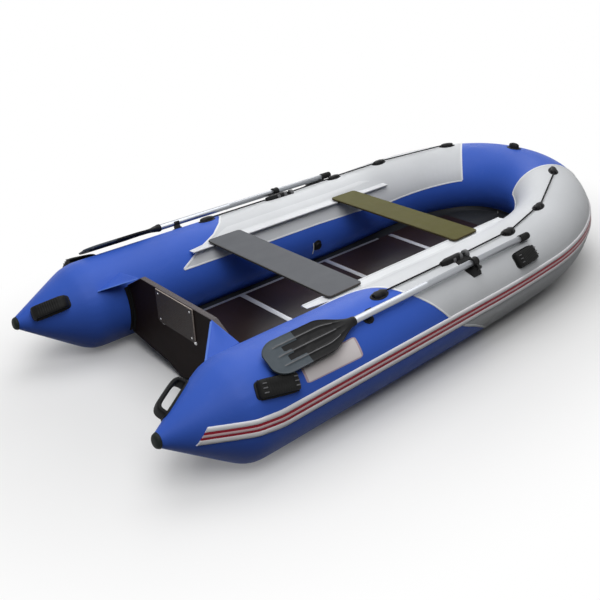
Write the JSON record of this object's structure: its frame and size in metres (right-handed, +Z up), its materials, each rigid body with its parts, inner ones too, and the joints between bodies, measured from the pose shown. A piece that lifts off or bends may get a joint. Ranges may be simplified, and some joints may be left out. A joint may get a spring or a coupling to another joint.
{
  "type": "inflatable boat",
  "caption": "Rigid-transom inflatable boat in blue and pale grey with a plywood floor, sliding plank seats, a motor transom and a pair of aluminium oars in swivelling rowlocks.",
  "frame": {"origin": "on the ground under the middle of the boat's length and beam", "axes": "+X forward to the bow, +Y to port, +Z up"},
  "size_m": [3.15, 1.612, 0.5607],
  "materials": {
    "tube_blue": "satin coated fabric",
    "tube_grey": "satin coated fabric",
    "strake": "satin moulded profile with two red lines",
    "bottom_fabric": "matt coated fabric",
    "keel_fabric": "satin coated fabric",
    "board_dark": "film-faced plywood, glossy",
    "motor_pad": "moulded pad, matt",
    "seat_rear": "painted plywood, matt",
    "seat_front": "painted plywood, matt",
    "profile": "extruded, satin",
    "shaft": "anodised tube",
    "moulded_black": "moulded, matt",
    "moulded_rubber": "moulded, matt",
    "rope": "braided cord",
    "rail": "fabric-covered bead rail"
  },
  "bodies": {
    "hull": {"aft_handle_port": "moulded_rubber", "aft_handle_starboard": "moulded_rubber", "bow_bulkhead": "tube_grey", "bow_quarter_port": "tube_grey", "bow_quarter_starboard": "tube_grey", "bow_tube": "tube_blue", "cone_cap_port": "moulded_rubber", "cone_cap_starboard": "moulded_rubber", "cone_handle_port": "moulded_rubber", "cone_handle_starboard": "moulded_rubber", "floor_board_aft": "board_dark", "floor_board_bow": "board_dark", "floor_board_fore": "board_dark", "floor_board_middle": "board_dark", "floor_joint_aft": "profile", "floor_joint_fore": "profile", "floor_joint_middle": "profile", "floor_stringer_port": "profile", "floor_stringer_starboard": "profile", "fore_handle_port": "moulded_rubber", "fore_handle_starboard": "moulded_rubber", "gusset_port": "tube_blue", "gusset_starboard": "tube_blue", "hull_bottom": "bottom_fabric", "inflatable_keel": "keel_fabric", "lifeline_port": "rope", "lifeline_starboard": "rope", "motor_plate": "motor_pad", "oar_clip_port": "moulded_black", "oar_clip_starboard": "moulded_black", "rowlock_base_port": "moulded_black", "rowlock_base_starboard": "moulded_black", "rub_strake": "strake", "seat_rail_port": "rail", "seat_rail_starboard": "rail", "side_tube_port": "tube_grey", "side_tube_starboard": "tube_grey", "stern_tube_port": "tube_blue", "stern_tube_starboard": "tube_blue", "transom_board": "board_dark", "transom_holder_port": "moulded_rubber", "transom_holder_starboard": "moulded_rubber"},
    "rear_seat": {"rear_seat_board": "seat_rear", "rear_seat_runner_port": "moulded_black", "rear_seat_runner_starboard": "moulded_black"},
    "front_seat": {"front_seat_board": "seat_front", "front_seat_runner_port": "moulded_black", "front_seat_runner_starboard": "moulded_black"},
    "port_oar": {"rowlock_swivel_port": "moulded_black", "oar_shaft_port": "shaft", "oar_blade_port": "moulded_black", "oar_grip_port": "moulded_black"},
    "port_knob": {"rowlock_knob_port": "moulded_black"},
    "port_valve_cap": {"valve_cap_port": "moulded_black"},
    "starboard_oar": {"rowlock_swivel_starboard": "moulded_black", "oar_shaft_starboard": "shaft", "oar_blade_starboard": "moulded_black", "oar_grip_starboard": "moulded_black"},
    "starboard_knob": {"rowlock_knob_starboard": "moulded_black"},
    "starboard_valve_cap": {"valve_cap_starboard": "moulded_black"}
  },
  "joints": [
    {"name": "rear_seat_slide", "type": "slide", "parent": "hull", "child": "rear_seat", "axis": [1, 0, 0], "range_m": [-0.1, 0.25]},
    {"name": "front_seat_slide", "type": "slide", "parent": "hull", "child": "front_seat", "axis": [1, 0, 0], "range_m": [-0.25, 0.1]},
    {"name": "port_oar_swing", "type": "hinge", "parent": "hull", "child": "port_oar", "pos_m": [0.025, 0.7116, 0.4198], "axis": [0, -0.5, -0.866], "range_deg": [0, 110]},
    {"name": "port_knob_turn", "type": "hinge", "parent": "port_oar", "child": "port_knob", "pos_m": [0.025, 0.7394, 0.4038], "axis": [0, 0.866, -0.5], "continuous": true},
    {"name": "port_valve_turn", "type": "hinge", "parent": "hull", "child": "port_valve_cap", "pos_m": [0.046, 0.3837, 0.1728], "axis": [0, -0.9848, -0.1736], "range_deg": [0, 90]},
    {"name": "starboard_oar_swing", "type": "hinge", "parent": "hull", "child": "starboard_oar", "pos_m": [0.025, -0.7116, 0.4198], "axis": [0, -0.5, 0.866], "range_deg": [0, 110]},
    {"name": "starboard_knob_turn", "type": "hinge", "parent": "starboard_oar", "child": "starboard_knob", "pos_m": [0.025, -0.7394, 0.4038], "axis": [0, -0.866, -0.5], "continuous": true},
    {"name": "starboard_valve_turn", "type": "hinge", "parent": "hull", "child": "starboard_valve_cap", "pos_m": [0.046, -0.3837, 0.1728], "axis": [0, 0.9848, -0.1736], "range_deg": [0, 90]}
  ]
}
